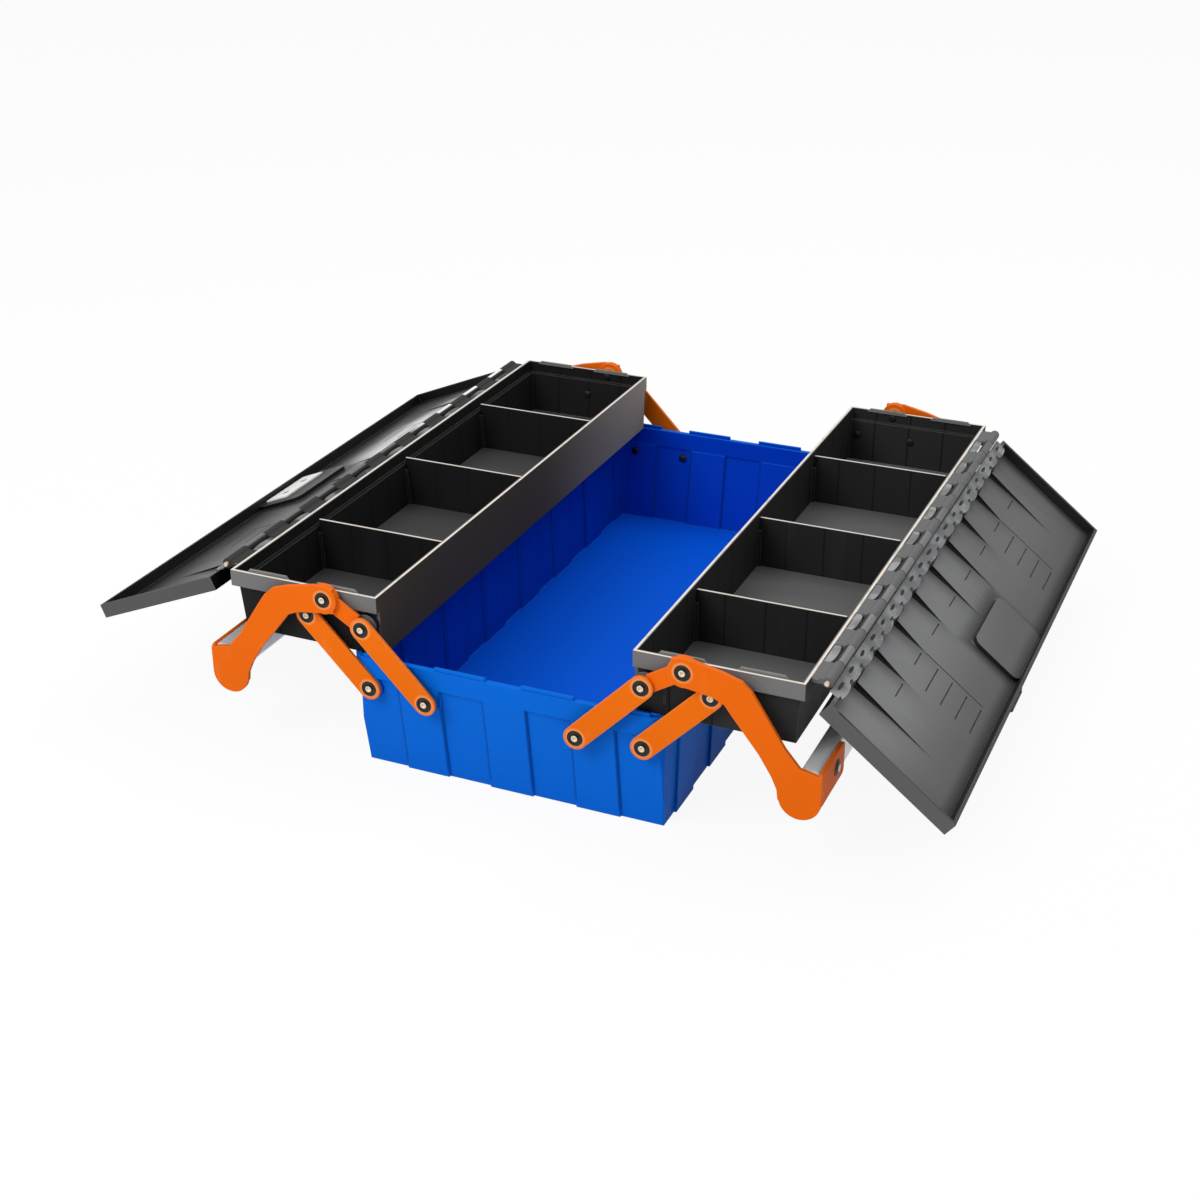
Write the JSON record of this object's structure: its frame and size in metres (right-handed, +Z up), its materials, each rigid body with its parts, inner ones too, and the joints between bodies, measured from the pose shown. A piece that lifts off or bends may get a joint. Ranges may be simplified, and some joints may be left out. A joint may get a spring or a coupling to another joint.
{
  "type": "cantilever tool box",
  "caption": "Long tool box shown open: a deep tub, two divided trays that swing out on pairs of links, hinged lids hanging outside them and side handles on cranked arms",
  "frame": {"origin": "Middle of the underside of the base, on the surface that it stands on", "axes": "X across the box toward the tray whose lid carries the latch, Y along the box, Z up"},
  "size_m": [0.5638, 0.4484, 0.1253],
  "materials": {
    "blue_plastic": "satin moulded plastic",
    "orange_plastic": "satin moulded plastic",
    "dark_plastic": "fine-grained moulded plastic",
    "grey_plastic": "fine-grained moulded plastic",
    "bar_metal": "brushed",
    "rivet_metal": "bright plated",
    "black_metal": "black"
  },
  "bodies": {
    "base": {"base_tub": "blue_plastic", "rim_tabs": "blue_plastic", "base_rivets": "rivet_metal"},
    "outer_links_right": {"outer_links_right": "orange_plastic"},
    "inner_links_right": {"inner_links_right": "orange_plastic"},
    "tray_right": {"tray_right": "dark_plastic", "dividers_right": "dark_plastic", "tray_rivets_right": "rivet_metal", "hinge_pin_right": "rivet_metal"},
    "handle_right": {"arms_right": "orange_plastic", "bar_right": "bar_metal", "bar_rivets_right": "rivet_metal"},
    "lid_right": {"lid_right": "grey_plastic", "latch_bracket": "black_metal", "latch_rivets": "rivet_metal"},
    "outer_links_left": {"outer_links_left": "orange_plastic"},
    "inner_links_left": {"inner_links_left": "orange_plastic"},
    "tray_left": {"tray_left": "dark_plastic", "dividers_left": "dark_plastic", "tray_rivets_left": "rivet_metal", "hinge_pin_left": "rivet_metal"},
    "handle_left": {"arms_left": "orange_plastic", "bar_left": "bar_metal", "bar_rivets_left": "rivet_metal"},
    "lid_left": {"lid_left": "dark_plastic", "keeper_hook": "black_metal", "keeper_plate": "rivet_metal", "keeper_rivets": "black_metal"},
    "latch_loop": {"latch_loop": "black_metal"}
  },
  "joints": [
    {"name": "fold_right", "type": "hinge", "parent": "base", "child": "outer_links_right", "pos_m": [0.0902, 0, 0.0584], "axis": [0, -1, 0], "range_deg": [0, 88.4]},
    {"name": "inner_link_right", "type": "hinge", "parent": "base", "child": "inner_links_right", "pos_m": [0.04976, 0, 0.0584], "axis": [0, -1, 0], "range_deg": [0, 88.4]},
    {"name": "tray_level_right", "type": "hinge", "parent": "outer_links_right", "child": "tray_right", "pos_m": [0.13126, 0, 0.10063], "axis": [0, -1, 0], "range_deg": [-88.4, 0]},
    {"name": "handle_right", "type": "hinge", "parent": "tray_right", "child": "handle_right", "pos_m": [0.11603, 0, 0.11603], "axis": [0, -1, 0], "range_deg": [0, 14]},
    {"name": "lid_right", "type": "hinge", "parent": "tray_right", "child": "lid_right", "pos_m": [0.19483, 0, 0.1181], "axis": [0, -1, 0], "range_deg": [0, 218.2]},
    {"name": "fold_left", "type": "hinge", "parent": "base", "child": "outer_links_left", "pos_m": [-0.0902, 0, 0.0584], "axis": [0, 1, 0], "range_deg": [0, 88.4]},
    {"name": "inner_link_left", "type": "hinge", "parent": "base", "child": "inner_links_left", "pos_m": [-0.04976, 0, 0.0584], "axis": [0, 1, 0], "range_deg": [0, 88.4]},
    {"name": "tray_level_left", "type": "hinge", "parent": "outer_links_left", "child": "tray_left", "pos_m": [-0.13126, 0, 0.10063], "axis": [0, 1, 0], "range_deg": [-88.4, 0]},
    {"name": "handle_left", "type": "hinge", "parent": "tray_left", "child": "handle_left", "pos_m": [-0.11603, 0, 0.11603], "axis": [0, 1, 0], "range_deg": [0, 18]},
    {"name": "lid_left", "type": "hinge", "parent": "tray_left", "child": "lid_left", "pos_m": [-0.19483, 0, 0.1181], "axis": [0, 1, 0], "range_deg": [0, 202.7]},
    {"name": "latch_loop", "type": "hinge", "parent": "lid_right", "child": "latch_loop", "pos_m": [0.264, 0, 0.04381], "axis": [0, -1, 0], "range_deg": [0, 51.8]}
  ],
  "couplings": [
    {"joint": "inner_link_right", "follows": "fold_right", "ratio": 1},
    {"joint": "tray_level_right", "follows": "fold_right", "ratio": -1},
    {"joint": "inner_link_left", "follows": "fold_left", "ratio": 1},
    {"joint": "tray_level_left", "follows": "fold_left", "ratio": -1}
  ]
}
